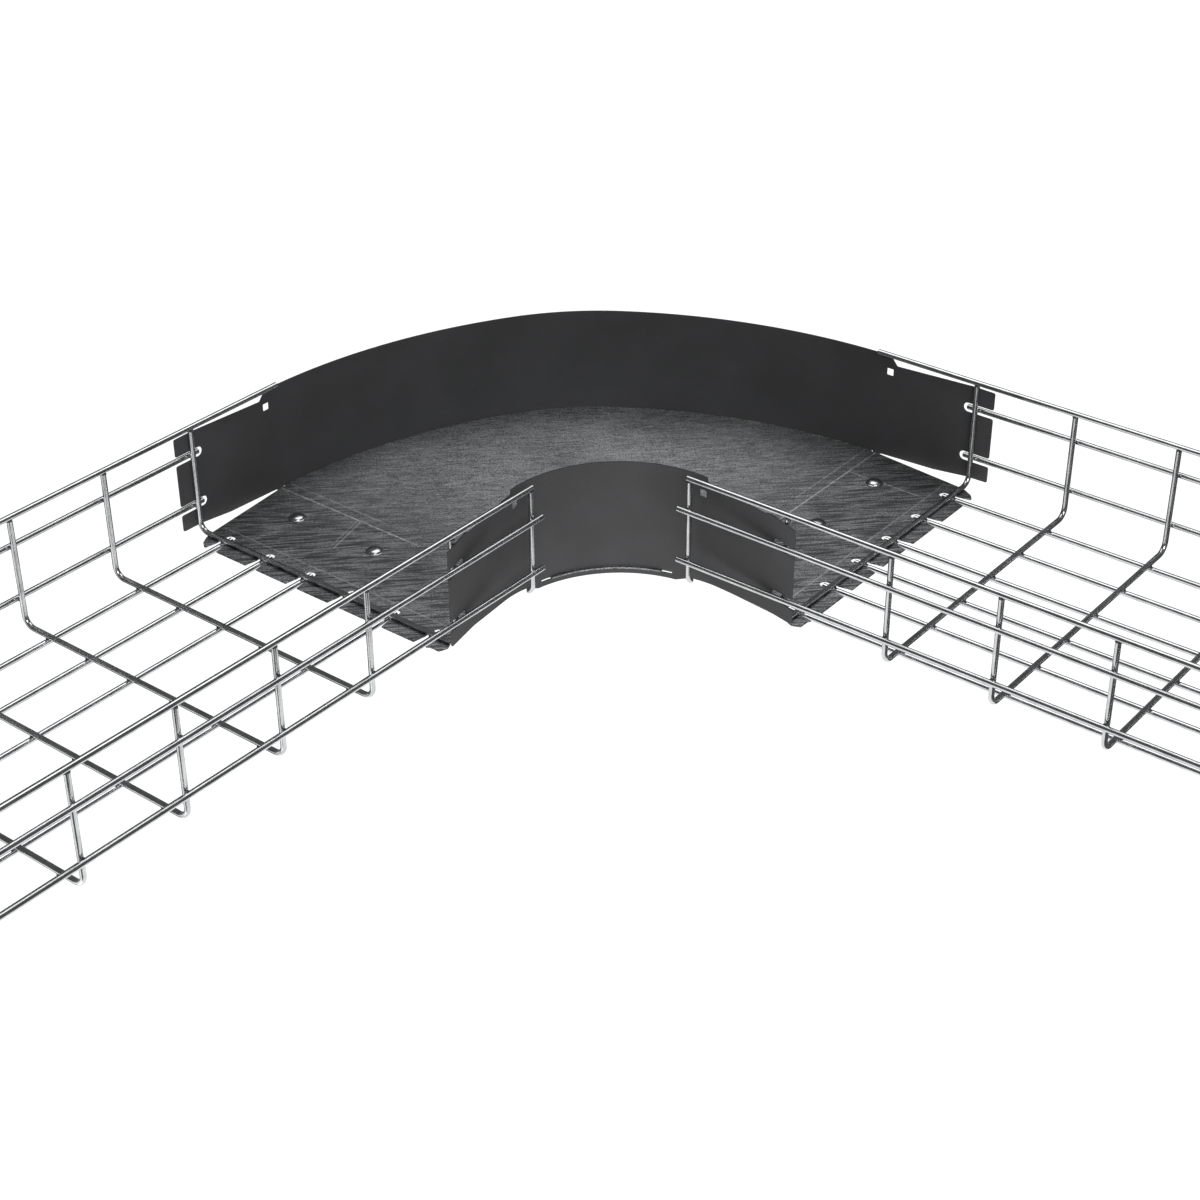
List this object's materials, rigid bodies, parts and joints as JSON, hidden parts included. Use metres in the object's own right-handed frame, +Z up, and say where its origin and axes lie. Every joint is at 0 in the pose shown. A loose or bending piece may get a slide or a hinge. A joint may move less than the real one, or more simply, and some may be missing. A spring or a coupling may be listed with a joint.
{
  "type": "cable tray sweep bend",
  "caption": "Wire-mesh cable tray turning a right-angle bend, with a flat base plate and two curved side panels bolted between the straight runs.",
  "frame": {"origin": "middle of the underside of the whole object", "axes": "+X away from the bend along the right run, -Y away from the bend along the left run, +Z up"},
  "size_m": [1.0182, 1.0182, 0.1207],
  "materials": {
    "zinc_wire": "electro-zinc plated drawn wire, smooth and bright",
    "galvanised_sheet": "galvanised sheet, rolled grain, dull grey with fine scratches",
    "black_sheet": "black powder coat, satin",
    "zinc_fastener": "bright zinc-plated fasteners"
  },
  "bodies": {
    "root": {"base_plate": "galvanised_sheet", "inner_panel": "black_sheet", "left_carriage_bolt_1": "zinc_fastener", "left_carriage_bolt_2": "zinc_fastener", "left_cross_wire_1": "zinc_wire", "left_cross_wire_2": "zinc_wire", "left_cross_wire_3": "zinc_wire", "left_cross_wire_4": "zinc_wire", "left_cross_wire_5": "zinc_wire", "left_cross_wire_6": "zinc_wire", "left_cut_cross_wire": "zinc_wire", "left_flange_nut_1": "zinc_fastener", "left_flange_nut_2": "zinc_fastener", "left_floor_wire_1": "zinc_wire", "left_floor_wire_2": "zinc_wire", "left_floor_wire_3": "zinc_wire", "left_floor_wire_4": "zinc_wire", "left_floor_wire_5": "zinc_wire", "left_floor_wire_6": "zinc_wire", "left_inner_low_wire": "zinc_wire", "left_inner_mid_wire": "zinc_wire", "left_inner_top_wire": "zinc_wire", "left_outer_low_wire": "zinc_wire", "left_outer_mid_wire": "zinc_wire", "left_outer_top_wire": "zinc_wire", "outer_panel": "black_sheet", "right_carriage_bolt_1": "zinc_fastener", "right_carriage_bolt_2": "zinc_fastener", "right_cross_wire_1": "zinc_wire", "right_cross_wire_2": "zinc_wire", "right_cross_wire_3": "zinc_wire", "right_cross_wire_4": "zinc_wire", "right_cross_wire_5": "zinc_wire", "right_cross_wire_6": "zinc_wire", "right_cut_cross_wire": "zinc_wire", "right_flange_nut_1": "zinc_fastener", "right_flange_nut_2": "zinc_fastener", "right_floor_wire_1": "zinc_wire", "right_floor_wire_2": "zinc_wire", "right_floor_wire_3": "zinc_wire", "right_floor_wire_4": "zinc_wire", "right_floor_wire_5": "zinc_wire", "right_floor_wire_6": "zinc_wire", "right_inner_low_wire": "zinc_wire", "right_inner_mid_wire": "zinc_wire", "right_inner_top_wire": "zinc_wire", "right_outer_low_wire": "zinc_wire", "right_outer_mid_wire": "zinc_wire", "right_outer_top_wire": "zinc_wire"}
  },
  "joints": []
}
